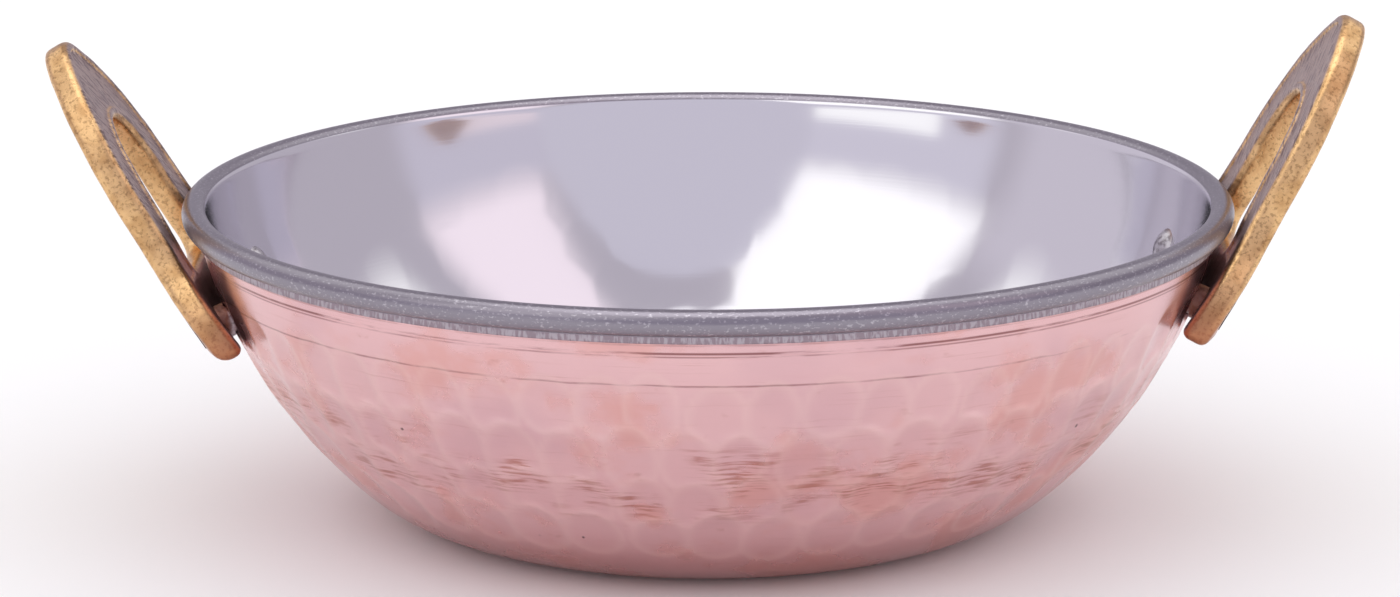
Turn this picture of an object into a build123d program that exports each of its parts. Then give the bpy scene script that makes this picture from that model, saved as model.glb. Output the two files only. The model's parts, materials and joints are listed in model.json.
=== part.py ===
from build123d import *
import math
import os

os.makedirs("parts", exist_ok=True)

# Bowl, in millimetres. Z is up, the origin is the centre of the flat base, and X runs through the handles.
rim_radius = 75.0
bowl_height = 46.2
bead_radius = 1.77
base_radius = 35.9
corner_radius = 22.8
corner_turn_deg = 40.6
steel_thickness = 0.9
copper_thickness = 0.8
copper_top_gap = 0.1
lip_depth = 1.1
lip_thickness = 0.45
lip_edge_radius = 0.2

# Cast handles, measured in the plane of each one's inner face, up from the foot.
handle_length = 48.0
handle_thickness = 4.1
foot_half_width = 25.0
waist_half_width = 17.4
waist_height = 22.5
tip_radius = 6.8
leg_width = 9.0
foot_bar = 11.5
slot_corner_radius = 2.5
slot_tip_radius = 7.4
cast_edge_radius = 1.2

# The foot's middle is dished away from the bowl and its wings are wrapped round it, clear of the wall.
foot_dish = 1.5
foot_gap = 0.4
wing_gap = 0.8
wrap_height_shares = (-0.10, 0.0, 0.15, 0.32, 0.50, 0.75, 1.10)
wrap_depth_shares = (1.15, 1.0, 0.70, 0.34, 0.08, 0.02, 0.01)

# The sunk panel on each handle's inner face, between its plain borders.
border_width = 1.7
panel_depth = 0.4

# Where each handle sits: its gap off the rim's bead, and its foot below the bead. Its lean follows.
left_bead_gap = 1.7
left_foot_drop = 20.2
left_foot_radius = 2.4
right_bead_gap = 0.35
right_foot_drop = 16.9
right_foot_radius = 1.3

# Rivets through each foot and the wall.
rivet_radius = 2.0
rivet_clearance = 0.05
rivet_half_spacing = 16.0
rivet_height = 4.6
inner_head_radius = 2.9
inner_head_height = 1.2
outer_head_radius = 3.2
outer_head_proud = 0.06
collar_radius = 2.5
head_bite = 1.0
countersink_deg = 90.0
overrun = 2.0

bead_height = bowl_height - bead_radius
wall_thickness = steel_thickness + copper_thickness
lip_top = bowl_height - 2 * bead_radius
copper_top = lip_top - copper_top_gap
hole_radius = rivet_radius + rivet_clearance
head_slope = math.tan(math.radians(countersink_deg / 2))

# The wall's outer curve: a corner arc turns up from the base, and a wall arc runs on tangent to it.
# The wall's inner face is tangent to the bead too, so that the sheet rolls over smoothly.
corner_turn = math.radians(corner_turn_deg)
corner_end = Vector(
    base_radius + corner_radius * math.sin(corner_turn),
    corner_radius * (1 - math.cos(corner_turn)),
)
wall_normal = Vector(-math.sin(corner_turn), math.cos(corner_turn))
bead_centre = Vector(rim_radius - bead_radius, bead_height)
to_bead = bead_centre - corner_end
bead_reach = bead_radius - wall_thickness
wall_radius = (to_bead.dot(to_bead) - bead_reach**2) / (2 * (to_bead.dot(wall_normal) + bead_reach))
wall_centre = corner_end + wall_normal * wall_radius
wall_top = bead_centre - (bead_centre - wall_centre).normalized() * bead_radius


def wall_at(inset, height):
    """Radius of the wall's curve, set in by inset, at a height on the wall arc."""
    rise = height - wall_centre.Y
    return wall_centre.X + math.sqrt((wall_radius - inset) ** 2 - rise**2)


def bowl_outline(inset, top):
    """Half section of a solid bowl whose skin is set in by inset, cut off level at top."""
    arc_end = corner_end + wall_normal * inset
    middle = (arc_end.Y + top) / 2
    with BuildLine() as outline:
        base = Line((0, inset), (base_radius, inset))
        corner = TangentArc(base @ 1, arc_end, tangent=base % 1)
        wall = ThreePointArc(
            corner @ 1, (wall_at(inset, middle), middle), (wall_at(inset, top), top)
        )
        Polyline(wall @ 1, (0, top), (0, inset))
    return outline.edges()


def plate_plane(side, bead_gap, foot_drop):
    """Plane of a handle's inner face: origin mid foot, local Y up the plate, Z towards the bowl.

    It passes the bead at its gap, and leans in until the dished foot is at its gap off the wall.
    """
    beside_bead = Vector(rim_radius + bead_gap, bead_height)
    to_centre = wall_centre - beside_bead
    foot_reach = wall_radius + foot_gap - foot_dish
    bend = math.acos(
        (foot_drop**2 + to_centre.length**2 - foot_reach**2) / (2 * foot_drop * to_centre.length)
    )
    down_angle = math.atan2(to_centre.Y, to_centre.X) + bend
    down = Vector(math.cos(down_angle), math.sin(down_angle))
    foot = beside_bead + down * foot_drop
    return Plane(
        origin=(side * foot.X, 0, foot.Y),
        x_dir=(0, -side, 0),
        z_dir=(side * down.Y, 0, -down.X),
    )


def rivet_plane(plate, across):
    """Plane square to the wall's outer face, Z pointing out, for a rivet through a plate's foot."""
    on_plate = plate.from_local_coords((across, rivet_height, 0))
    turn = math.atan2(on_plate.Y, on_plate.X)
    radius = wall_at(0, on_plate.Z)
    lean = math.asin((on_plate.Z - wall_centre.Y) / wall_radius)
    return Plane(
        origin=(radius * math.cos(turn), radius * math.sin(turn), on_plate.Z),
        z_dir=(
            math.cos(lean) * math.cos(turn),
            math.cos(lean) * math.sin(turn),
            math.sin(lean),
        ),
    )


left_plate = plate_plane(-1, left_bead_gap, left_foot_drop)
right_plate = plate_plane(1, right_bead_gap, right_foot_drop)
rivet_planes = {
    "rivet_left_front": rivet_plane(left_plate, -rivet_half_spacing),
    "rivet_left_back": rivet_plane(left_plate, rivet_half_spacing),
    "rivet_right_front": rivet_plane(right_plate, rivet_half_spacing),
    "rivet_right_back": rivet_plane(right_plate, -rivet_half_spacing),
}

# Outer skin of spun copper, open at the top and tucked under the rim.
with BuildPart() as copper_shell:
    with BuildSketch(Plane.XZ):
        make_face(bowl_outline(0, copper_top))
        make_face(bowl_outline(copper_thickness, copper_top), mode=Mode.SUBTRACT)
    revolve(axis=Axis.Z)
    for drilled in rivet_planes.values():
        with Locations(drilled.offset(overrun).location):
            Hole(radius=hole_radius, depth=overrun + wall_thickness + overrun)

# Inner bowl of steel: the wall, the bead rolled outwards, and the lip pressed down over the copper.
with BuildPart() as steel_bowl:
    with BuildSketch(Plane.XZ):
        lip_inside = wall_at(copper_thickness + steel_thickness / 2, lip_top)
        lip_outside = wall_at(0, lip_top) + lip_thickness
        lip_bottom = lip_top - lip_depth
        with Locations((lip_inside, lip_bottom)):
            Rectangle(
                lip_outside - lip_inside,
                lip_depth + bead_radius / 2,
                align=(Align.MIN, Align.MIN),
            )
        make_face(bowl_outline(0, copper_top), mode=Mode.SUBTRACT)
        make_face(bowl_outline(copper_thickness, wall_top.Y))
        make_face(bowl_outline(wall_thickness, bowl_height), mode=Mode.SUBTRACT)
        with Locations(bead_centre):
            Circle(bead_radius)
    revolve(axis=Axis.Z)
    lip_edge = steel_bowl.edges().filter_by(
        lambda edge: edge.geom_type == GeomType.CIRCLE
        and abs(edge.radius - lip_outside) < lip_edge_radius
        and abs(edge.center().Z - lip_bottom) < lip_edge_radius
    )
    fillet(lip_edge, lip_edge_radius)
    for drilled in rivet_planes.values():
        with Locations(drilled.offset(overrun).location):
            Hole(radius=hole_radius, depth=overrun + wall_thickness + overrun)

# Outline that both handles are cast to: a flared foot, a waist and a pointed arch with a round tip.
flank_rise = handle_length - waist_height
flank_radius = (
    waist_half_width**2 + (flank_rise - tip_radius) ** 2 - tip_radius**2
) / (2 * (waist_half_width - tip_radius))
flank_centre = Vector(waist_half_width - flank_radius, waist_height)
tip_centre = Vector(0, handle_length - tip_radius)
flank_end = flank_centre + (tip_centre - flank_centre).normalized() * flank_radius
flare_end = Vector((foot_half_width + waist_half_width) / 2, waist_height / 2)

with BuildSketch() as arch:
    with BuildLine():
        flare = TangentArc((waist_half_width, waist_height), flare_end, tangent=(0, -1))
        TangentArc(flare @ 1, (foot_half_width, 0), tangent=flare % 1)
        flank = TangentArc((waist_half_width, waist_height), flank_end, tangent=(0, 1))
        mirror(about=Plane.YZ)
        ThreePointArc(flank @ 1, (0, handle_length), (-flank_end.X, flank_end.Y))
        Line((-foot_half_width, 0), (foot_half_width, 0))
    make_face()

# The finger slot keeps a leg of even width beside it and a bar across the foot.
with BuildSketch() as slot:
    add(arch.sketch)
    offset(amount=-leg_width, mode=Mode.REPLACE)
    Rectangle(
        2 * foot_half_width,
        foot_bar,
        align=(Align.CENTER, Align.MIN),
        mode=Mode.SUBTRACT,
    )
    fillet(slot.vertices().group_by(Axis.Y)[0], slot_corner_radius)
    fillet(slot.vertices().group_by(Axis.Y)[-1], slot_tip_radius)

# The sunk panel lies between a border round the outline and one round the slot, above the foot bar.
with BuildSketch() as slot_border:
    add(arch.sketch)
    offset(amount=border_width - leg_width, mode=Mode.REPLACE)
    Rectangle(
        2 * foot_half_width,
        foot_bar - border_width,
        align=(Align.CENTER, Align.MIN),
        mode=Mode.SUBTRACT,
    )
    fillet(slot_border.vertices().group_by(Axis.Y)[0], slot_corner_radius + border_width)
    fillet(slot_border.vertices().group_by(Axis.Y)[-1], slot_tip_radius + border_width)
with BuildSketch() as panel:
    add(arch.sketch)
    offset(amount=-border_width, mode=Mode.REPLACE)
    add(slot_border.sketch, mode=Mode.SUBTRACT)
    Rectangle(
        2 * foot_half_width,
        foot_bar,
        align=(Align.CENTER, Align.MIN),
        mode=Mode.SUBTRACT,
    )


def wrapped_slab(plate, near, far):
    """Solid between two depths behind a plate's inner face, dished and wrapped towards the foot."""
    wall_at_foot = wall_at(0, plate.origin.Z)
    wall_sag = wall_at_foot - math.sqrt(wall_at_foot**2 - foot_half_width**2)
    foot_wrap = wall_sag - foot_dish + foot_gap - wing_gap
    half_width = foot_half_width + overrun
    wrap = foot_wrap * (half_width / foot_half_width) ** 2
    with BuildPart() as slab:
        for height_share, depth_share in zip(wrap_height_shares, wrap_depth_shares):
            section = Plane(
                origin=plate.from_local_coords((0, height_share * handle_length, 0)),
                x_dir=plate.x_dir,
                z_dir=plate.y_dir,
            )
            middle = depth_share * foot_dish
            edge = -depth_share * wrap
            with BuildSketch(section):
                with BuildLine():
                    inner = ThreePointArc(
                        (-half_width, near + edge),
                        (0, near + middle),
                        (half_width, near + edge),
                    )
                    outer = ThreePointArc(
                        (-half_width, far + edge),
                        (0, far + middle),
                        (half_width, far + edge),
                    )
                    Line(inner @ 0, outer @ 0)
                    Line(inner @ 1, outer @ 1)
                make_face()
        loft()
    return slab.part


def cast_handle(plate, foot_radius, drilled_planes):
    """One cast handle on its plate plane, with rounded edges, its sunk panel and its rivet holes."""
    reach = foot_half_width
    slab = wrapped_slab(plate, 0, handle_thickness)
    sunk = wrapped_slab(plate, -overrun, panel_depth)
    with BuildPart() as panel_cut:
        with BuildSketch(plate):
            add(panel.sketch)
        extrude(amount=reach, both=True)
        add(sunk, mode=Mode.INTERSECT)
    with BuildPart() as handle:
        with BuildSketch(plate):
            add(arch.sketch)
            add(slot.sketch, mode=Mode.SUBTRACT)
        extrude(amount=reach, both=True)
        add(slab, mode=Mode.INTERSECT)
        face_edges = handle.edges().filter_by(
            lambda edge: abs(edge.tangent_at(0.5).dot(plate.z_dir)) < math.sqrt(0.5)
        )
        foot_edges = face_edges.group_by(Axis(plate.origin, plate.y_dir))[0]
        outer_foot_edge = foot_edges.sort_by(Axis(plate.origin, plate.z_dir))[0]
        face_edges.remove(outer_foot_edge)
        fillet(outer_foot_edge, foot_radius)
        fillet(face_edges, cast_edge_radius)
        add(panel_cut.part, mode=Mode.SUBTRACT)
        for drilled in drilled_planes:
            lean = abs(plate.z_dir.dot(drilled.z_dir))
            plate_gap = abs(plate.to_local_coords(drilled.origin).Z)
            head_end = (plate_gap + handle_thickness) / lean
            with Locations(drilled.offset(head_end + head_bite).location):
                CounterSinkHole(
                    radius=hole_radius,
                    counter_sink_radius=outer_head_radius + rivet_clearance + head_bite * head_slope,
                    counter_sink_angle=countersink_deg,
                )
    return handle.part


handle_left = cast_handle(
    left_plate,
    left_foot_radius,
    [rivet_planes["rivet_left_front"], rivet_planes["rivet_left_back"]],
)
handle_right = cast_handle(
    right_plate,
    right_foot_radius,
    [rivet_planes["rivet_right_front"], rivet_planes["rivet_right_back"]],
)


def rivet(seat, plate, handle):
    """Rivet with a domed head inside the bowl, a collar behind the plate and a flush head outside."""
    lean = abs(plate.z_dir.dot(seat.z_dir))
    collar_end = abs(plate.to_local_coords(seat.origin).Z) / lean
    head_end = collar_end + handle_thickness / lean
    section = Plane(origin=seat.origin, x_dir=seat.x_dir, z_dir=-seat.y_dir)
    trim = wrapped_slab(plate, -foot_half_width, handle_thickness + outer_head_proud)
    with BuildPart() as turned:
        with BuildSketch(section):
            with Locations((0, -wall_thickness)):
                Rectangle(rivet_radius, wall_thickness + head_end, align=(Align.MIN, Align.MIN))
            with Locations((0, -copper_thickness / 2)):
                Rectangle(
                    collar_radius,
                    copper_thickness / 2 + collar_end + head_bite,
                    align=(Align.MIN, Align.MIN),
                )
            with BuildLine():
                dome = TangentArc(
                    (0, -wall_thickness - inner_head_height),
                    (inner_head_radius, -wall_thickness),
                    tangent=(1, 0),
                )
                Polyline(
                    dome @ 1,
                    (inner_head_radius, -wall_thickness + head_bite),
                    (0, -wall_thickness + head_bite),
                    dome @ 0,
                )
            make_face()
            with BuildLine():
                Polyline(
                    (0, head_end + head_bite),
                    (outer_head_radius + head_bite * head_slope, head_end + head_bite),
                    (0, head_end - outer_head_radius / head_slope),
                    close=True,
                )
            make_face()
        revolve(axis=Axis(seat.origin, seat.z_dir))
        add(trim, mode=Mode.INTERSECT)
        add(handle, mode=Mode.SUBTRACT)
        add(copper_shell.part, mode=Mode.SUBTRACT)
        add(steel_bowl.part, mode=Mode.SUBTRACT)
    return turned.part


pieces = {
    "copper_shell": copper_shell.part,
    "steel_bowl": steel_bowl.part,
    "handle_left": handle_left,
    "handle_right": handle_right,
}
for rivet_name, seat in rivet_planes.items():
    on_left = "left" in rivet_name
    plate, handle = (
        (left_plate, handle_left) if on_left else (right_plate, handle_right)
    )
    pieces[rivet_name] = rivet(seat, plate, handle)
for piece_name, piece in pieces.items():
    piece.label = piece_name
    export_step(piece, f"parts/{piece_name}.step")
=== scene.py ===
"""Dresses a small two-layer kadai: hammered copper outside, spun steel inside, cast brass handles."""

import json
import logging
import math
import random
from dataclasses import dataclass
from enum import Enum

import bpy
import numpy as np
from mathutils import Matrix, Vector, noise

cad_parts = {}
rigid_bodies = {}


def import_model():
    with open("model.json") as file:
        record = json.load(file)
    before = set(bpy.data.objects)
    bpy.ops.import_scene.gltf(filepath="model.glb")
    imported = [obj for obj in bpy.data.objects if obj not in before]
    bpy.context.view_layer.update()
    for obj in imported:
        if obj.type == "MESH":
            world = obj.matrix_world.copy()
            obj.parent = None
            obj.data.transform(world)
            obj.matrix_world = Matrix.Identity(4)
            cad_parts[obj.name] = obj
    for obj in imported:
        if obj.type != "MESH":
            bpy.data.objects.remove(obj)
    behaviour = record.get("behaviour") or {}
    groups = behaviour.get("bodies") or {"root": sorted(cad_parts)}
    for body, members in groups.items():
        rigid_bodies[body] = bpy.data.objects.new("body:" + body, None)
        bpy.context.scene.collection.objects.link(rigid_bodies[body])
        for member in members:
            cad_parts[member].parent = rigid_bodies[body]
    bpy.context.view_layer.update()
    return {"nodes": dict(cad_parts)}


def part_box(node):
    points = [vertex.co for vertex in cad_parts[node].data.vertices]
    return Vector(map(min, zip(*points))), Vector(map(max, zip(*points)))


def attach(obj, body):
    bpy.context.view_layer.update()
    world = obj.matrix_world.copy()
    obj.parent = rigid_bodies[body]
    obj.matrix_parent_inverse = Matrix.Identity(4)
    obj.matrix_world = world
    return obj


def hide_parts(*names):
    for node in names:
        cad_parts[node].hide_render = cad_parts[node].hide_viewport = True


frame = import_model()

MM = 0.001
QUARTER_TURN = math.pi / 2
FULL_TURN = 2 * math.pi
MERGE_DISTANCE = 0.002 * MM
WHOLE_TURN_DEG = 359
TIMES = {"operation": "MULTIPLY"}

# A mask's part: a socket, or a socket with the start and end of a ramp and the results there.
Part = bpy.types.NodeSocket | tuple

log = logging.getLogger("kadai")


class Side(Enum):
    """The two sides of the bowl, as the sign of X."""

    LEFT = -1
    RIGHT = 1


class Zone(Enum):
    """How each stretch of the steel was finished, as the value of its zone attribute."""

    POLISHED = 0.0
    SATIN = 1.0
    KNURLED = 2.0


def linear(hex_colour: str) -> tuple[float, float, float, float]:
    """Turns an sRGB hex colour to linear light.

    Args:
        hex_colour: Six hex digits after a hash.

    Returns:
        Linear red, green and blue, with an alpha of one.
    """
    channels = []
    for start in (1, 3, 5):
        share = int(hex_colour[start : start + 2], 16) / 255
        low = share <= 0.04045
        channels.append(share / 12.92 if low else ((share + 0.055) / 1.055) ** 2.4)
    return (*channels, 1.0)


def add_node(
    tree: bpy.types.NodeTree,
    kind: str,
    settings: dict | None = None,
    values: dict | None = None,
    links: dict | None = None,
) -> bpy.types.Node:
    """Adds one node with its settings, its socket values and its incoming links.

    Args:
        tree: The material's or the world's node tree.
        kind: Blender's name for the node's type, without its ShaderNode.
        settings: Attributes of the node by name.
        values: Socket values by the socket's name or number.
        links: Output sockets by the name or number of the input that they feed.

    Returns:
        The new node.
    """
    node = tree.nodes.new(f"ShaderNode{kind}")
    for name, value in (settings or {}).items():
        setattr(node, name, value)
    for socket, value in (values or {}).items():
        node.inputs[socket].default_value = value
    for socket, source in (links or {}).items():
        tree.links.new(source, node.inputs[socket])
    return node


def new_material(name: str) -> bpy.types.Material:
    """Makes an empty material, named for the real material and how it was made."""
    material = bpy.data.materials.new(name)
    material.use_nodes = True
    material.node_tree.nodes.clear()
    return material


def grain(
    tree: bpy.types.NodeTree,
    vector: bpy.types.NodeSocket,
    size_mm: tuple[float, float, float],
    detail: float = 3.0,
    roughness: float = 0.55,
    turn: float = 0.0,
    offset: float = 0.0,
) -> bpy.types.NodeSocket:
    """Cloudy noise whose clouds have a real size in millimetres.

    Args:
        tree: The material's node tree.
        vector: The coordinates that it follows, in metres.
        size_mm: Length of a cloud along each axis.
        detail: Octaves of finer noise.
        roughness: Strength of the finer octaves.
        turn: Turn of the pattern about its third axis, in radians.
        offset: Shift that gives another part of the same noise.

    Returns:
        The noise, from zero to one.
    """
    scale = tuple(1 / (size * MM) for size in size_mm)
    moves = [{"Location": (offset, offset, offset), "Scale": scale}]
    if turn:
        moves.insert(0, {"Rotation": (0, 0, turn)})
    for move in moves:
        vector = add_node(tree, "Mapping", values=move, links={"Vector": vector}).outputs[0]
    values = {"Scale": 1.0, "Detail": detail, "Roughness": roughness}
    return add_node(tree, "TexNoise", values=values, links={"Vector": vector}).outputs["Fac"]


def mask(tree: bpy.types.NodeTree, *parts: Part, share: float = 1.0) -> bpy.types.NodeSocket:
    """Works several conditions into one mask, which shows where all of them hold.

    Args:
        tree: The material's or the world's node tree.
        parts: Sockets as they are, or a socket with a smooth ramp: where it starts and ends,
            and, if they aren't zero and one, the results there. It may fall, from high to low.
        share: How much of the mask is kept.

    Returns:
        The product of all the parts.
    """
    result = None
    for part in parts:
        if isinstance(part, tuple):
            value, low, high, *ends = part
            start, end = ends or (0.0, 1.0)
            part = add_node(
                tree,
                "MapRange",
                {"interpolation_type": "SMOOTHSTEP"},
                {"From Min": low, "From Max": high, "To Min": start, "To Max": end},
                {"Value": value},
            ).outputs[0]
        if result is not None:
            part = add_node(tree, "Math", TIMES, links={0: result, 1: part}).outputs[0]
        result = part
    if share != 1.0:
        result = add_node(tree, "Math", TIMES, {1: share}, {0: result}).outputs[0]
    return result


def coat(
    tree: bpy.types.NodeTree,
    below: bpy.types.NodeSocket | str,
    colour: str,
    *parts: Part,
    share: float = 1.0,
    strength: float = 1.0,
) -> bpy.types.NodeSocket:
    """Lays one colour over another through a mask.

    Args:
        tree: The material's or the world's node tree.
        below: What is below, a socket or a hex colour.
        colour: Hex colour on top.
        parts: What the mask is made of, as for mask().
        share: How much of the colour shows where the mask is whole.
        strength: Brightness of the colour, for light.

    Returns:
        The mixed colour.
    """
    values = {7: tuple(channel * strength for channel in linear(colour)[:3]) + (1.0,)}
    links = {0: mask(tree, *parts, share=share)}
    if isinstance(below, str):
        values[6] = linear(below)
    else:
        links[6] = below
    return add_node(tree, "Mix", {"data_type": "RGBA"}, values, links).outputs[2]


def finish_metal(
    material: bpy.types.Material,
    reliefs: list[tuple[bpy.types.NodeSocket, float, float]],
    values: dict,
    links: dict,
) -> bpy.types.Material:
    """Ends a material in a metal with fine relief.

    Args:
        material: The material.
        reliefs: Height pattern, its depth in millimetres and the share that shows, for each.
        values: Values that are the same all over.
        links: Sockets that vary over the surface.

    Returns:
        The finished material.
    """
    tree = material.node_tree
    normal = {}
    for height, depth_mm, share in reliefs:
        values_here = {"Strength": share, "Distance": depth_mm * MM}
        bump = add_node(tree, "Bump", values=values_here, links={"Height": height, **normal})
        normal = {"Normal": bump.outputs[0]}
    values = {"Metallic": 1.0, **values}
    shader = add_node(tree, "BsdfPrincipled", values=values, links={**links, **normal})
    add_node(tree, "OutputMaterial", links={"Surface": shader.outputs[0]})
    return material


@dataclass(frozen=True)
class HammeredCopper:
    """Copper sheet, spun, then planished: pink metal with soft facets, level marks and tarnish."""

    clean: str = "#E7BDBF"
    warm: str = "#E4B0AC"
    lilac: str = "#D9B0B6"
    tarnish: str = "#A85F45"
    line: str = "#7C4644"
    speck: str = "#3E2426"
    rubbed_highlight: str = "#FADDD5"
    low_shade: str = "#B0706C"
    # Way up the profile from the centre, half width and strength of each turned line.
    lines_mm: tuple[tuple[float, float, float], ...] = (
        (93.4, 0.14, 0.8),
        (92.9, 0.10, 0.55),
        (94.6, 0.12, 0.4),
        (88.5, 0.12, 0.6),
    )
    # A line is darkest within the first share of its half width, and gone past the second.
    line_edges: tuple[float, float] = (0.4, 2.0)
    # Way up the profile where the belt of tarnish starts, is whole, starts to end, and ends.
    belt_mm: tuple[float, float, float, float] = (62.0, 66.0, 75.0, 80.0)
    # Way up the profile where the painted shade of the lowest band starts and is whole.
    low_shade_mm: tuple[float, float] = (62.0, 50.0)
    pit_spacing_mm: float = 7.5

    def build(self) -> bpy.types.Material:
        """Builds the material.

        Returns:
            A metal with turned lines, a belt of orange streaks and fine dark pits.
        """
        material = new_material("hammered_copper_sheet")
        tree = material.node_tree
        lathe = add_node(tree, "Attribute", {"attribute_name": "lathe"}).outputs["Vector"]
        ridge = add_node(tree, "Attribute", {"attribute_name": "ridge"}).outputs["Fac"]
        way_up = add_node(tree, "SeparateXYZ", links={"Vector": lathe}).outputs["Z"]
        # Handling leaves warm and lilac clouds one to three centimetres across.
        clouds = grain(tree, lathe, (16, 16, 12), detail=4.0)
        colour = coat(tree, self.clean, self.warm, (clouds, 0.47, 0.64))
        lilac = grain(tree, lathe, (26, 26, 18), detail=2.0, offset=4.0)
        colour = coat(tree, colour, self.lilac, (lilac, 0.5, 0.68, 0.0, 0.6))
        # The polishing wheel ran round the bowl: level hairs 14 mm long and a third of a mm high.
        hairs = grain(tree, lathe, (14, 14, 0.34), detail=4.0, roughness=0.65)
        colour = coat(tree, colour, self.tarnish, (hairs, 0.56, 0.8, 0.0, 0.3))
        # Orange tarnish lies in short level streaks, thickest in a belt above the base.
        low, full_low, full_high, high = (way * MM for way in self.belt_mm)
        patches = grain(tree, lathe, (13, 13, 9), offset=9.0)
        streaks = grain(tree, lathe, (7, 7, 0.5), roughness=0.6, offset=2.0)
        colour = coat(
            tree,
            colour,
            self.tarnish,
            (way_up, low, full_low),
            (way_up, high, full_high),
            (patches, 0.46, 0.62),
            (streaks, 0.46, 0.62),
            share=0.62,
        )
        # Small stray stains lie outside the belt too.
        stray = grain(tree, lathe, (4.5, 4.5, 2.2), detail=5.0, offset=6.0)
        colour = coat(tree, colour, self.tarnish, (stray, 0.66, 0.76), share=0.22)
        # The lowest band, nearest the table, is painted darker, a rosy brown: painted shade standing in
        # for the table's shadow reflected under the bowl.
        start, end = (way * MM for way in self.low_shade_mm)
        colour = coat(tree, colour, self.low_shade, (way_up, start, end, 0.0, 0.5))
        # The tool left hair lines under the rim, broken where the wheel wore them down.
        worn = grain(tree, lathe, (24, 24, 2.5), detail=5.0, roughness=0.7, offset=7.0)
        for middle, half_width, strength in self.lines_mm:
            full, gone = (half_width * edge for edge in self.line_edges)
            colour = coat(
                tree,
                colour,
                self.line,
                (way_up, (middle - gone) * MM, (middle - full) * MM),
                (way_up, (middle + gone) * MM, (middle + full) * MM),
                (worn, 0.38, 0.56),
                share=strength,
            )
        # Pits half a millimetre across, in a third of cells that are 7.5 mm across.
        cells = add_node(
            tree, "TexVoronoi", values={"Scale": 1 / (self.pit_spacing_mm * MM)}, links={"Vector": lathe}
        )
        draw = add_node(tree, "SeparateColor", links={"Color": cells.outputs["Color"]}).outputs[0]
        pits = mask(tree, (draw, 0.62, 0.7), (cells.outputs["Distance"], 0.05, 0.025))
        colour = coat(tree, colour, self.speck, pits, share=0.8)
        # Where each blow ends, the ridge is painted paler: partly rubbing, partly painted highlight along
        # the ridges.
        colour = coat(tree, colour, self.rubbed_highlight, ridge, share=0.22)
        roughness = mask(tree, (clouds, 0.35, 0.65, 0.2, 0.3))
        reliefs = [(hairs, 0.010, 0.6), (pits, -0.05, 1.0)]
        return finish_metal(material, reliefs, {}, {"Base Color": colour, "Roughness": roughness})


@dataclass(frozen=True)
class SpunSteel:
    """Stainless steel sheet, spun and polished inside, with a satin rim and a knurled lip."""

    polished: str = "#E2E0E5"
    satin: str = "#918B95"
    knurled: str = "#93848D"
    glint_fleck: str = "#DAD5DD"

    def build(self) -> bpy.types.Material:
        """Builds the material.

        Returns:
            A cool mirror with level rings, duller on the rim, with pale flecks of painted glint on the
            rim and the lip.
        """
        material = new_material("spun_stainless_steel")
        tree = material.node_tree
        lathe = add_node(tree, "Attribute", {"attribute_name": "lathe"}).outputs["Vector"]
        zone = add_node(tree, "Attribute", {"attribute_name": "zone"}).outputs["Fac"]
        satin = mask(tree, (zone, 0.2, 0.8))
        knurled = mask(tree, (zone, 1.4, 1.7))
        # The roller left rings a quarter of a millimetre apart, drawn here at 0.4 mm to show.
        rings = grain(tree, lathe, (60, 60, 0.4), detail=2.0, roughness=0.6)
        # The pressed rim and lip carry grains about half a millimetre across.
        speckle = grain(tree, lathe, (0.55, 0.55, 0.32), detail=2.0, roughness=0.6)
        flecks = grain(tree, lathe, (0.5, 0.5, 1.6), detail=2.0, roughness=0.5, offset=3.0)
        ribs = mask(tree, knurled, (flecks, 0.42, 0.6))
        colour = coat(tree, self.polished, self.satin, satin)
        # Pale flecks on the satin rim are painted glints on its grains.
        colour = coat(tree, colour, self.glint_fleck, satin, (speckle, 0.56, 0.7, 0.0, 0.45))
        colour = coat(tree, colour, self.knurled, knurled)
        # Pale flecks on the knurl ribs are painted glints.
        colour = coat(tree, colour, self.glint_fleck, ribs, share=0.3)
        tangent = add_node(tree, "Tangent", {"direction_type": "RADIAL", "axis": "Z"})
        links = {
            "Base Color": colour,
            "Roughness": mask(tree, (zone, 0.2, 0.8, 0.1, 0.3)),
            "Tangent": tangent.outputs[0],
        }
        grains = mask(tree, satin, speckle)
        reliefs = [(rings, 0.004, 0.5), (grains, 0.05, 0.6), (ribs, 0.05, 1.0)]
        return finish_metal(material, reliefs, {"Anisotropic": 0.5}, links)


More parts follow.
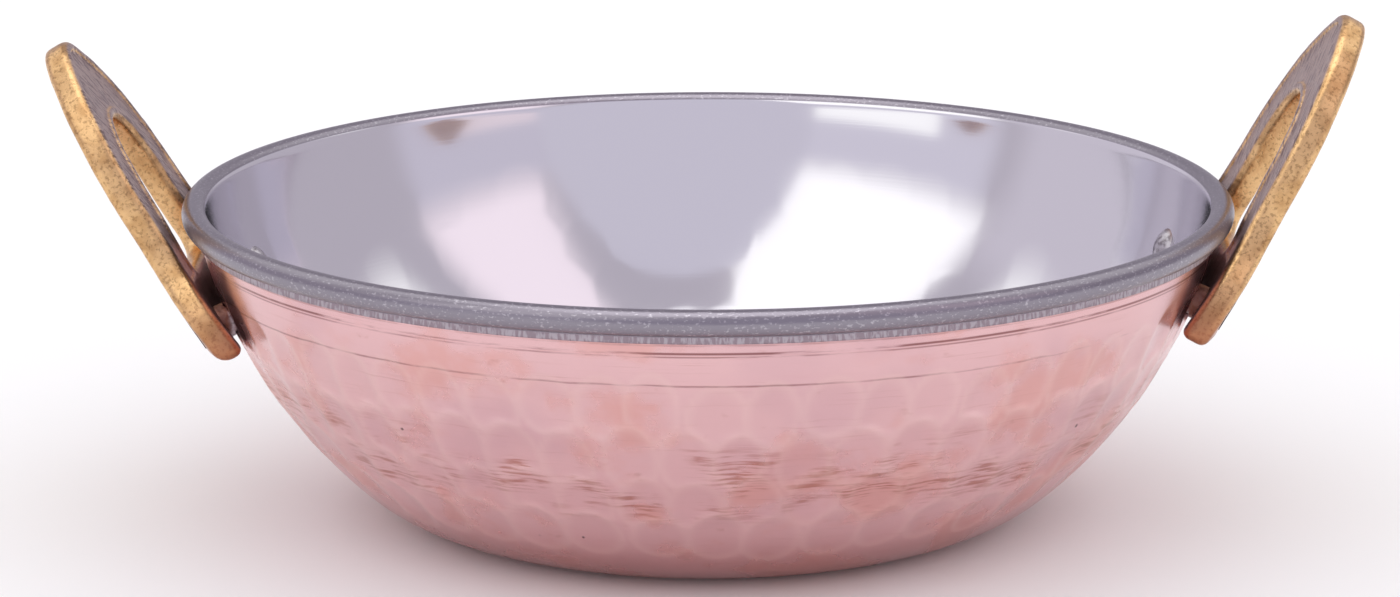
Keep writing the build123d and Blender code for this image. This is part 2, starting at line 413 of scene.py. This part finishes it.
@dataclass(frozen=True)
class CastBrass:
    """Sand-cast brass with linished edges: golden and grainy, with a duller cast inner face."""

    gold: str = "#E6BC88"
    deep: str = "#C79C6C"
    patina: str = "#6B4A2C"
    red: str = "#A2604A"
    dull: str = "#A8979A"
    stroke: str = "#6A5860"
    # Height up the plate where the red ends and is whole, and how far its edge wanders.
    red_mm: tuple[float, float] = (15.0, 3.0)
    red_wander_mm: float = 6.0
    stroke_mm: tuple[float, float] = (14.0, 24.0)
    stroke_lean: float = math.radians(-38)

    def build(self) -> bpy.types.Material:
        """Builds the material.

        Returns:
            A grainy golden metal, redder at the foot and mauve on its inner face.
        """
        material = new_material("sand_cast_brass")
        tree = material.node_tree
        plate = add_node(tree, "Attribute", {"attribute_name": "plate"}).outputs["Vector"]
        face = add_node(tree, "Attribute", {"attribute_name": "face"}).outputs["Fac"]
        height = add_node(tree, "SeparateXYZ", links={"Vector": plate}).outputs["Y"]
        # Sand grains print as pocks half a millimetre across, in clouds of about four.
        sand = grain(tree, plate, (0.55, 0.55, 0.55), roughness=0.65)
        lumps = grain(tree, plate, (3.6, 3.6, 3.6), offset=2.0)
        colour = coat(tree, self.gold, self.deep, (lumps, 0.4, 0.66))
        colour = coat(tree, colour, self.patina, (sand, 0.5, 0.36), share=0.45)
        # The foot is redder, with an edge that wanders.
        wander = mask(tree, lumps, share=self.red_wander_mm * MM)
        wavy = add_node(tree, "Math", {"operation": "ADD"}, links={0: height, 1: wander}).outputs[0]
        gone, whole = (level * MM for level in self.red_mm)
        colour = coat(tree, colour, self.red, (wavy, gone, whole), share=0.8)
        # The inner face keeps its casting skin, with slanting strokes half a millimetre wide.
        strokes = grain(
            tree, plate, (0.5, 3.4, 40), detail=1.0, turn=self.stroke_lean, offset=5.0
        )
        start, end = (level * MM for level in self.stroke_mm)
        pressed = mask(tree, (strokes, 0.5, 0.6), (height, start, end), face)
        colour = coat(tree, colour, self.dull, face, share=0.85)
        colour = coat(tree, colour, self.stroke, pressed, share=0.6)
        roughness = mask(tree, (face, 0.0, 1.0, 0.3, 0.42))
        reliefs = [(sand, 0.07, 0.7), (lumps, 0.25, 0.5), (pressed, -0.15, 1.0)]
        return finish_metal(material, reliefs, {}, {"Base Color": colour, "Roughness": roughness})


@dataclass(frozen=True)
class UpsetSteel:
    """Steel rivet, upset cold: satin grey inside the bowl; outside it, painted brown as painted shade and
    painted reflection of the copper and brass round it.
    """

    colour: str = "#C0BBC0"
    shadow: str = "#8B8489"
    shade_and_copper_reflection: str = "#7A4A38"
    wall_radius_mm: tuple[float, float] = (68.8, 69.8)

    def build(self) -> bpy.types.Material:
        """Builds the material.

        Returns:
            A satin metal with small dimples.
        """
        material = new_material("cold_upset_steel_rivet")
        tree = material.node_tree
        place = add_node(tree, "TexCoord").outputs["Object"]
        # The riveting set leaves dimples under a millimetre across.
        dimples = grain(tree, place, (0.8, 0.8, 0.8), detail=2.0)
        colour = coat(tree, self.colour, self.shadow, (dimples, 0.42, 0.66))
        level = add_node(tree, "VectorMath", TIMES, {1: (1, 1, 0)}, {0: place}).outputs[0]
        out = add_node(tree, "VectorMath", {"operation": "LENGTH"}, links={0: level}).outputs["Value"]
        # Outside the wall the rivet is painted brown: painted shade in the gap between handle and wall,
        # with painted reflection of the copper.
        start, end = (radius * MM for radius in self.wall_radius_mm)
        colour = coat(tree, colour, self.shade_and_copper_reflection, (out, start, end), share=0.9)
        reliefs = [(dimples, 0.08, 1.0)]
        return finish_metal(material, reliefs, {"Roughness": 0.32}, {"Base Color": colour})


def deselect_all() -> None:
    """Leaves object mode with nothing selected."""
    if bpy.context.object and bpy.context.object.mode != "OBJECT":
        bpy.ops.object.mode_set(mode="OBJECT")
    bpy.ops.object.select_all(action="DESELECT")


def make_active(piece: bpy.types.Object) -> None:
    """Selects one piece alone and makes it the active one."""
    deselect_all()
    piece.select_set(True)
    bpy.context.view_layer.objects.active = piece


def turned_piece(name: str, profile: list[tuple[float, float]], steps: int) -> bpy.types.Object:
    """Turns a half section about the Z axis, as on a lathe.

    Args:
        name: The new piece's name.
        profile: Radius and height of each point, in metres, from the axis back to the axis.
        steps: Facets round the full turn.

    Returns:
        The closed piece, with its normals outwards.
    """
    deselect_all()
    bpy.ops.mesh.primitive_plane_add(size=MM)
    piece = bpy.context.object
    piece.name = name
    bpy.ops.object.mode_set(mode="EDIT")
    bpy.ops.mesh.merge(type="CENTER")
    last = Vector((profile[0][0], 0, profile[0][1]))
    bpy.ops.transform.translate(value=last)
    for radius, height in profile[1:]:
        point = Vector((radius, 0, height))
        bpy.ops.mesh.extrude_region_move(TRANSFORM_OT_translate={"value": point - last})
        last = point
    bpy.ops.mesh.select_all(action="SELECT")
    bpy.ops.mesh.spin(steps=steps, angle=FULL_TURN, center=(0, 0, 0), axis=(0, 0, 1))
    bpy.ops.mesh.select_all(action="SELECT")
    bpy.ops.mesh.remove_doubles(threshold=MERGE_DISTANCE)
    bpy.ops.mesh.normals_make_consistent(inside=False)
    bpy.ops.object.mode_set(mode="OBJECT")
    bpy.ops.object.shade_smooth()
    return piece


def arc(
    centre: tuple[float, float], radius: float, start: float, end: float, count: int
) -> list[tuple[float, float]]:
    """Points evenly along an arc of a half section.

    Args:
        centre: Radius and height of the arc's centre.
        radius: The arc's own radius.
        start: Angle of the first point, in radians from the outward direction.
        end: Angle of the last point.
        count: Number of steps.

    Returns:
        The points with both ends.
    """
    angles = np.linspace(start, end, count + 1)
    return [(centre[0] + radius * math.cos(a), centre[1] + radius * math.sin(a)) for a in angles]


def read_points(piece: bpy.types.Object) -> np.ndarray:
    """Returns the piece's vertices as rows of X, Y and Z."""
    points = np.zeros(len(piece.data.vertices) * 3)
    piece.data.vertices.foreach_get("co", points)
    return points.reshape(-1, 3)


def write_points(piece: bpy.types.Object, points: np.ndarray) -> None:
    """Writes rows of X, Y and Z back to the piece's vertices."""
    piece.data.vertices.foreach_set("co", points.ravel())
    piece.data.update()


def write_attribute(piece: bpy.types.Object, name: str, values: np.ndarray) -> None:
    """Keeps one value or vector per vertex under a name that materials can read.

    Args:
        piece: The piece.
        name: The attribute's name.
        values: One number, or one row of three, per vertex.
    """
    vector = values.ndim == 2
    kind, slot = ("FLOAT_VECTOR", "vector") if vector else ("FLOAT", "value")
    attribute = piece.data.attributes.new(name, kind, "POINT")
    attribute.data.foreach_set(slot, values.astype(np.float32).ravel())


def ease(values: np.ndarray, low: float, high: float) -> np.ndarray:
    """Rises smoothly from zero at low to one at high."""
    share = np.clip((values - low) / (high - low), 0, 1)
    return share * share * (3 - 2 * share)


@dataclass
class Bowl:
    """The two spun sheets: copper outside, and steel inside with its rolled rim."""

    base_radius: float = 35.9 * MM
    corner_radius: float = 22.8 * MM
    corner_turn: float = math.radians(40.6)
    bead_radius: float = 1.77 * MM
    steel: float = 0.9 * MM
    copper: float = 0.8 * MM
    copper_top_gap: float = 0.1 * MM
    lip_depth: float = 1.1 * MM
    lip_thickness: float = 0.45 * MM
    lip_edge: float = 0.2 * MM
    steps: int = 640
    flat_rows: int = 8
    corner_rows: int = 14
    bead_rows: int = 30
    hammered_rows: int = 96
    polished_rows: int = 72
    hidden_rows: tuple[int, int] = (6, 8)
    hammer_rows: tuple[tuple[float, int], ...] = ((12.2, 58), (20.6, 54), (28.8, 50), (36.6, 45))
    mark_half_width_mm: float = 4.0
    mark_half_height_mm: float = 5.6
    mark_depth_mm: tuple[float, float] = (0.24, 0.4)
    mark_edge: float = 0.16
    raised_lip: float = -0.1
    ridge_band: tuple[float, float] = (0.6, 1.0)
    round_jitter: float = 0.1
    down_jitter_mm: float = 0.7
    width_range: tuple[float, float] = (0.92, 1.1)
    height_range: tuple[float, float] = (0.9, 1.1)
    show_through: float = 0.07
    seed: int = 5

    def __post_init__(self) -> None:
        """Works out the wall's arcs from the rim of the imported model."""
        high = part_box("steel_bowl")[1]
        self.rim_radius = high.x
        self.height = high.z
        self.bead = Vector((self.rim_radius - self.bead_radius, self.height - self.bead_radius))
        self.lip_top = self.height - 2 * self.bead_radius
        turn = self.corner_turn
        self.corner_end = Vector(
            (
                self.base_radius + self.corner_radius * math.sin(turn),
                self.corner_radius * (1 - math.cos(turn)),
            )
        )
        # The wall starts tangent to the corner, and its inner face ends tangent to the bead.
        normal = Vector((-math.sin(turn), math.cos(turn)))
        to_bead = self.bead - self.corner_end
        reach = self.bead_radius - self.steel - self.copper
        self.wall_radius = (to_bead.dot(to_bead) - reach**2) / (2 * (to_bead.dot(normal) + reach))
        self.wall_centre = self.corner_end + normal * self.wall_radius

    def wall_at(self, inset: float, height: float) -> float:
        """Radius of the wall's curve, set in by inset, at a height."""
        rise = height - self.wall_centre.y
        return self.wall_centre.x + math.sqrt((self.wall_radius - inset) ** 2 - rise**2)

    def skin(self, inset: float, top: float, rows: int) -> list[tuple[float, float]]:
        """Half section of one skin, from the axis up.

        Args:
            inset: How far the skin lies inside the copper's outer face.
            top: Height where it ends.
            rows: Steps along the wall.

        Returns:
            Radius and height of each point.
        """
        flat = [(share * self.base_radius, inset) for share in np.linspace(0, 1, self.flat_rows + 1)[:-1]]
        corner = arc(
            (self.base_radius, self.corner_radius),
            self.corner_radius - inset,
            -QUARTER_TURN,
            self.corner_turn - QUARTER_TURN,
            self.corner_rows,
        )
        radius = self.wall_radius - inset
        end = math.asin((top - self.wall_centre.y) / radius)
        wall = arc(tuple(self.wall_centre), radius, self.corner_turn - QUARTER_TURN, end, rows)
        return flat + corner[:-1] + wall

    def mark_lathe(self, piece: bpy.types.Object, profile: list[tuple[float, float]]) -> np.ndarray:
        """Gives a turned piece coordinates that run round it and up its section.

        Args:
            piece: The turned piece.
            profile: The section that it was turned from.

        Returns:
            Number of the section's point that each vertex came from.
        """
        points = read_points(piece)
        section = np.array(profile)
        steps = np.hypot(*np.diff(section, axis=0).T)
        way = np.concatenate(([0], np.cumsum(steps)))
        radius = np.hypot(points[:, 0], points[:, 1])
        gap = np.hypot(radius[:, None] - section[:, 0], points[:, 2:3] - section[:, 1])
        nearest = gap.argmin(axis=1)
        turn = np.arctan2(points[:, 1], points[:, 0])
        round_it = self.rim_radius
        lathe = np.column_stack((round_it * np.cos(turn), round_it * np.sin(turn), way[nearest]))
        write_attribute(piece, "lathe", lathe)
        return nearest

    def hammer(self, points: np.ndarray) -> tuple[np.ndarray, np.ndarray]:
        """Lays the hammer's blows over the wall, each one over the one before.

        Args:
            points: Rows of X, Y and Z near the wall, in metres.

        Returns:
            Depth of the dish at each point, in metres, and how near it is to a blow's edge.
        """
        picker = random.Random(self.seed)
        radius = np.hypot(points[:, 0], points[:, 1])
        turn = np.arctan2(points[:, 1], points[:, 0])
        lean = np.arctan2(points[:, 2] - self.wall_centre.y, radius - self.wall_centre.x)
        top_lean = math.asin((self.lip_top - self.wall_centre.y) / self.wall_radius)
        down = (top_lean - lean) * self.wall_radius / MM
        depth = np.zeros(len(points))
        ridge = np.zeros(len(points))
        for row, count in self.hammer_rows:
            phase = picker.random()
            for number in range(count):
                stray = picker.uniform(-self.round_jitter, self.round_jitter)
                around = (number + phase + stray) * FULL_TURN / count - math.pi
                across = np.angle(np.exp(1j * (turn - around))) * radius / MM
                below = down - row - picker.uniform(-self.down_jitter_mm, self.down_jitter_mm)
                half_width = self.mark_half_width_mm * picker.uniform(*self.width_range)
                half_height = self.mark_half_height_mm * picker.uniform(*self.height_range)
                deepest = picker.uniform(*self.mark_depth_mm)
                away = np.hypot(across / half_width, below / half_height)
                near = away < 1 + self.mark_edge
                share = ease(-away[near], -1 - self.mark_edge / 2, -1 + self.mark_edge / 2)
                dish = np.maximum(1 - away[near] ** 2, self.raised_lip) * deepest
                depth[near] += (dish - depth[near]) * share
                edge = ease(away[near], *self.ridge_band)
                ridge[near] += (edge - ridge[near]) * share
        return depth * MM, ridge

    def outward(self, points: np.ndarray) -> np.ndarray:
        """Direction square to the wall at each point, as rows of X, Y and Z."""
        radius = np.hypot(points[:, 0], points[:, 1])
        lean = np.arctan2(points[:, 2] - self.wall_centre.y, radius - self.wall_centre.x)
        turn = np.arctan2(points[:, 1], points[:, 0])
        level = np.cos(lean)
        return np.column_stack((level * np.cos(turn), level * np.sin(turn), np.sin(lean)))

    def build_copper(self, material: bpy.types.Material) -> bpy.types.Object:
        """Builds the outer skin, with its hammer marks beaten into the outer face.

        Args:
            material: The copper.

        Returns:
            The finished piece.
        """
        top = self.lip_top - self.copper_top_gap
        outer = self.skin(0, top, self.hammered_rows)
        inner = self.skin(self.copper, top, self.hidden_rows[0])
        profile = outer + inner[::-1]
        piece = turned_piece("hammered_copper_skin", profile, self.steps)
        on_face = self.mark_lathe(piece, profile) < len(outer)
        points = read_points(piece)
        depth, ridge = self.hammer(points)
        depth = np.where(on_face, np.maximum(depth, 0), 0)
        write_points(piece, points - self.outward(points) * depth[:, None])
        write_attribute(piece, "ridge", np.where(on_face, ridge, 0))
        piece.data.materials.append(material)
        return piece

    def build_steel(self, material: bpy.types.Material) -> bpy.types.Object:
        """Builds the inner bowl, its rolled bead and the lip pressed over the copper.

        Args:
            material: The steel.

        Returns:
            The finished piece.
        """
        both = self.steel + self.copper
        to_wall = self.wall_centre - self.bead
        start = math.atan2(to_wall.y, to_wall.x)
        tangent_height = self.bead.y + self.bead_radius * math.sin(start)
        inner = self.skin(both, tangent_height, self.polished_rows)
        lip_outer = self.wall_at(0, self.lip_top) + self.lip_thickness
        ring_end = -math.acos((lip_outer - self.bead.x) / self.bead_radius)
        ring = arc(tuple(self.bead), self.bead_radius, start, ring_end, self.bead_rows)
        lip_bottom = self.lip_top - self.lip_depth
        rounded = (lip_outer - self.lip_edge, lip_bottom + self.lip_edge)
        lip = [(lip_outer, ring[-1][1] - share * (ring[-1][1] - rounded[1])) for share in (0.3, 0.6)]
        lip += arc(rounded, self.lip_edge, 0, -QUARTER_TURN, 4)
        ledge = self.lip_top - self.copper_top_gap
        lip += [(self.wall_at(0, lip_bottom), lip_bottom), (self.wall_at(0, ledge), ledge)]
        outer = self.skin(self.copper, ledge, self.hidden_rows[1])
        profile = inner + ring[1:] + lip + outer[::-1]
        piece = turned_piece("spun_steel_bowl", profile, self.steps)
        number = self.mark_lathe(piece, profile)
        ring_start = len(inner) + 2
        lip_start = len(inner) + len(ring) - 1
        zone = np.where(number >= ring_start, Zone.SATIN.value, Zone.POLISHED.value)
        on_lip = (number >= lip_start) & (number < lip_start + len(lip))
        zone = np.where(on_lip, Zone.KNURLED.value, zone)
        write_attribute(piece, "zone", zone)
        points = read_points(piece)
        depth = self.hammer(points)[0] * self.show_through
        bulge = np.where(number < len(inner) - 1, np.maximum(depth, 0), 0)
        write_points(piece, points - self.outward(points) * bulge[:, None])
        piece.data.materials.append(material)
        return piece

    def build(self, copper: bpy.types.Material, steel: bpy.types.Material) -> None:
        """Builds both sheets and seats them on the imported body."""
        skin = self.build_copper(copper)
        liner = self.build_steel(steel)
        for piece, node in ((skin, "copper_shell"), (liner, "steel_bowl")):
            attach(piece, "root")
            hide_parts(node)
            log.info("%s: %d faces", piece.name, len(piece.data.polygons))


@dataclass
class Handle:
    """One cast handle, remeshed from its node so that the casting's skin can be worked."""

    side: Side
    bead_gap: float
    foot_drop: float
    foot_gap: float = 0.4 * MM
    foot_dish: float = 1.5 * MM
    voxel: float = 0.28 * MM
    lump_size: float = 4.5 * MM
    lump_depth: float = 0.12 * MM
    smoothing: int = 3
    face_band: tuple[float, float] = (0.8, 0.95)

    def plate(self, bowl: Bowl) -> tuple[Vector, Vector, Vector, Vector]:
        """Finds the plane of the handle's inner face from the bowl, as it was built.

        Args:
            bowl: The bowl that it is riveted to.

        Returns:
            Mid foot, and the directions across, up and towards the bowl.
        """
        beside_bead = bowl.bead + Vector((bowl.bead_radius + self.bead_gap, 0))
        to_centre = bowl.wall_centre - beside_bead
        reach = bowl.wall_radius + self.foot_gap - self.foot_dish
        far = to_centre.length
        bend = math.acos((self.foot_drop**2 + far**2 - reach**2) / (2 * self.foot_drop * far))
        angle = math.atan2(to_centre.y, to_centre.x) + bend
        down = Vector((math.cos(angle), math.sin(angle)))
        foot = beside_bead + down * self.foot_drop
        side = self.side.value
        return (
            Vector((side * foot.x, 0, foot.y)),
            Vector((0, -side, 0)),
            Vector((-side * down.x, 0, -down.y)),
            Vector((side * down.y, 0, -down.x)),
        )

    def cast_skin(self, piece: bpy.types.Object, bowl: Bowl) -> None:
        """Sinks the casting's soft lumps and marks its inner face.

        Args:
            piece: The remeshed handle.
            bowl: The bowl that it is riveted to.
        """
        foot, across, up, inward = self.plate(bowl)
        points = read_points(piece)
        normals = np.zeros(len(points) * 3)
        piece.data.vertices.foreach_get("normal", normals)
        normals = normals.reshape(-1, 3)
        lumps = np.array(
            [noise.fractal(Vector(p) / self.lump_size, 1.0, 2.0, 3) for p in points.tolist()]
        )
        sunk = self.lump_depth * (0.5 + 0.5 * np.clip(lumps, -1, 1))
        write_points(piece, points - normals * sunk[:, None])
        offset = points - np.array(foot)
        plate = np.column_stack([offset @ np.array(axis) for axis in (across, up, inward)])
        write_attribute(piece, "plate", plate)
        write_attribute(piece, "face", ease(normals @ np.array(inward), *self.face_band))

    def build(self, material: bpy.types.Material, bowl: Bowl) -> bpy.types.Object:
        """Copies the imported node, closes its mesh and rounds it as a casting.

        Args:
            material: The brass.
            bowl: The bowl that it is riveted to.

        Returns:
            The finished piece.
        """
        node = f"handle_{self.side.name.lower()}"
        make_active(frame["nodes"][node])
        bpy.ops.object.duplicate()
        piece = bpy.context.object
        piece.name = f"cast_{node}"
        for mark in [key for key in piece.keys() if key.startswith("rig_")]:
            del piece[mark]
        bpy.ops.object.parent_clear(type="CLEAR_KEEP_TRANSFORM")
        bpy.ops.object.mode_set(mode="EDIT")
        bpy.ops.mesh.select_all(action="SELECT")
        bpy.ops.mesh.remove_doubles(threshold=MERGE_DISTANCE)
        bpy.ops.object.mode_set(mode="OBJECT")
        bpy.ops.object.modifier_add(type="REMESH")
        remesh = piece.modifiers[-1]
        remesh.mode = "VOXEL"
        remesh.voxel_size = self.voxel * 1
        remesh.use_smooth_shade = True
        bpy.ops.object.modifier_apply(modifier=remesh.name)
        bpy.ops.object.modifier_add(type="SMOOTH")
        smooth = piece.modifiers[-1]
        smooth.iterations = self.smoothing
        bpy.ops.object.modifier_apply(modifier=smooth.name)
        self.cast_skin(piece, bowl)
        piece.data.materials.clear()
        piece.data.materials.append(material)
        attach(piece, "root")
        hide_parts(node)
        log.info("%s: %d faces", piece.name, len(piece.data.polygons))
        return piece


@dataclass(frozen=True)
class Softbox:
    """One pale cloth panel of the light tent, by the directions in which the bowl sees it.

    Angles are in degrees: round from the camera's side towards the right, and up from the table.
    """

    name: str
    around: tuple[float, float]
    up: tuple[float, float]
    soft: float
    colour: str
    strength: float
    both_sides: bool = False


@dataclass
class Studio:
    """The white table, the light tent and the camera of the photograph."""

    image_width: int = 1400
    focal_px: float = 4713.19
    sensor_mm: float = 36.0
    distance_in_rims: float = 9.0
    sight_height_in_rims: float = 0.6165
    elevation: float = math.radians(12.1434)
    yaw: float = math.radians(0.0998)
    pitch: float = math.radians(-13.4704)
    roll: float = math.radians(0.0937)
    room: str = "#C4BEC9"
    opening: tuple[float, float, float, float] = (8.0, 34.0, 56.0, 2.6)
    opening_colour: str = "#D9D5E3"
    opening_edge: tuple[float, float] = (1.08, 0.96)
    paper: str = "#FBFAFC"
    table_size: float = 8.0
    plain_light: tuple[float, float, float, float] = (1.09, 1.09, 1.1, 1.0)
    softboxes: tuple[Softbox, ...] = (
        Softbox("low_cloth", (-75, -20), (-5, 25), 8, "#E0DCEA", 1.0),
        Softbox("low_cloth_right", (40, 80), (-5, 25), 8, "#D6D1E0", 1.0),
        Softbox("side_cloth_right", (-150, -82), (-5, 34), 12, "#DAD4E0", 1.0),
        Softbox("table_edge_left", (-58, -18), (4, 12.5), 3, "#FFFFFF", 1.25),
        Softbox("table_edge_right", (32, 66), (3, 11), 3, "#F6E8F0", 1.0),
        Softbox("key", (-79, -10), (25, 78), 9, "#FFFEFF", 1.38),
        Softbox("fill", (44, 82), (25, 66), 10, "#FFF2FA", 1.15),
        Softbox("side_cloths", (98, 152), (28, 70), 12, "#FFFFFF", 1.25, True),
        Softbox("roof", (-180, 180), (67, 90.1), 6, "#FFFFFF", 2.1),
    )

    def camera(self, rim_radius: float) -> None:
        """Places the camera where the photograph was taken from."""
        data = bpy.data.cameras.new("camera")
        data.sensor_width = self.sensor_mm
        data.lens = self.focal_px * self.sensor_mm / self.image_width
        data.clip_start = 10 * MM
        data.clip_end = 20.0
        camera = bpy.data.objects.new("camera", data)
        bpy.context.scene.collection.objects.link(camera)
        turn = (
            Matrix.Rotation(self.yaw, 3, "Z")
            @ Matrix.Rotation(self.pitch, 3, "X")
            @ Matrix.Rotation(self.roll, 3, "Y")
        )
        right, forward, up = (turn.col[i] for i in range(3))
        place = rim_radius * Vector(
            (
                0,
                -self.distance_in_rims * math.cos(self.elevation),
                self.sight_height_in_rims + self.distance_in_rims * math.sin(self.elevation),
            )
        )
        camera.matrix_world = Matrix(
            (
                (right.x, up.x, -forward.x, place.x),
                (right.y, up.y, -forward.y, place.y),
                (right.z, up.z, -forward.z, place.z),
                (0, 0, 0, 1),
            )
        )
        bpy.context.scene.camera = camera

    def floor(self) -> None:
        """Lays the pale table under the bowl."""
        deselect_all()
        bpy.ops.mesh.primitive_plane_add(size=self.table_size)
        table = bpy.context.object
        table.name = "white_table"
        paper = new_material("matt_white_paper")
        tree = paper.node_tree
        shader = add_node(tree, "BsdfDiffuse", values={"Color": linear(self.paper)})
        add_node(tree, "OutputMaterial", links={"Surface": shader.outputs[0]})
        table.data.materials.append(paper)

    def tent(self) -> None:
        """Hangs the light tent round the bowl, panel by panel, on the world."""
        world = bpy.data.worlds.new("light_tent")
        world.use_nodes = True
        tree = world.node_tree
        tree.nodes.clear()
        sight = add_node(tree, "TexCoord").outputs["Generated"]
        axes = add_node(tree, "SeparateXYZ", links={"Vector": sight}).outputs
        nearer = add_node(tree, "Math", TIMES, {1: -1.0}, {0: axes["Y"]}).outputs[0]
        angles = []
        for operation, links in (("ARCTAN2", {0: axes["X"], 1: nearer}), ("ARCSINE", {0: axes["Z"]})):
            radians = add_node(tree, "Math", {"operation": operation}, links=links).outputs[0]
            degrees = add_node(tree, "Math", {"operation": "DEGREES"}, links={0: radians})
            angles.append(degrees.outputs[0])
        around, up = angles
        mirrored_sides = add_node(tree, "Math", {"operation": "ABSOLUTE"}, links={0: around})
        colour = self.room
        for box in self.softboxes:
            half = box.soft / 2
            turn = mirrored_sides.outputs[0] if box.both_sides else around
            ramps = []
            for value, (low, high) in ((turn, box.around), (up, box.up)):
                if high - low < WHOLE_TURN_DEG:
                    ramps += [(value, low - half, low + half), (value, high + half, high - half)]
            colour = coat(tree, colour, box.colour, *ramps, strength=box.strength)
        # The tent's front opening is an arch that shows the plain room behind the camera.
        middle, half_width, height, power = self.opening
        powers = []
        for value, centre, reach in ((around, middle, half_width), (up, 0.0, height)):
            for operation, number in (
                ("SUBTRACT", centre),
                ("DIVIDE", reach),
                ("ABSOLUTE", 0.0),
                ("POWER", power),
            ):
                step = add_node(tree, "Math", {"operation": operation}, {1: number}, {0: value})
                value = step.outputs[0]
            powers.append(value)
        bulge = add_node(tree, "Math", {"operation": "ADD"}, links=dict(enumerate(powers)))
        outside, inside = self.opening_edge
        colour = coat(tree, colour, self.opening_colour, (bulge.outputs[0], outside, inside))
        # Mirrors see the tent; seen straight on, and as light on paper, it is plain white.
        mirrored = add_node(tree, "LightPath").outputs["Is Glossy Ray"]
        shown = add_node(
            tree, "Mix", {"data_type": "RGBA"}, {6: self.plain_light}, {0: mirrored, 7: colour}
        )
        glow = add_node(tree, "Background", links={"Color": shown.outputs[2]})
        add_node(tree, "OutputWorld", links={"Surface": glow.outputs[0]})
        bpy.context.scene.world = world

    def build(self, rim_radius: float) -> None:
        """Sets the whole studio up round the bowl."""
        self.camera(rim_radius)
        self.floor()
        self.tent()
        bpy.context.scene.view_settings.view_transform = "Standard"
        log.info("studio: camera, table and light tent")


def dress_rivets(material: bpy.types.Material) -> None:
    """Gives the four rivets their steel."""
    for name, node in frame["nodes"].items():
        if name.startswith("rivet"):
            node.data.materials.clear()
            node.data.materials.append(material)
            log.info("%s: dressed in place", name)


def main() -> None:
    """Builds the kadai piece by piece, then the studio round it."""
    logging.basicConfig(level=logging.INFO, format="%(relativeCreated)d %(name)s %(message)s")
    bowl = Bowl()
    bowl.build(HammeredCopper().build(), SpunSteel().build())
    brass = CastBrass().build()
    Handle(Side.LEFT, bead_gap=1.7 * MM, foot_drop=20.2 * MM).build(brass, bowl)
    Handle(Side.RIGHT, bead_gap=0.35 * MM, foot_drop=16.9 * MM).build(brass, bowl)
    dress_rivets(UpsetSteel().build())
    Studio().build(bowl.rim_radius)


if __name__ == "__main__":
    main()
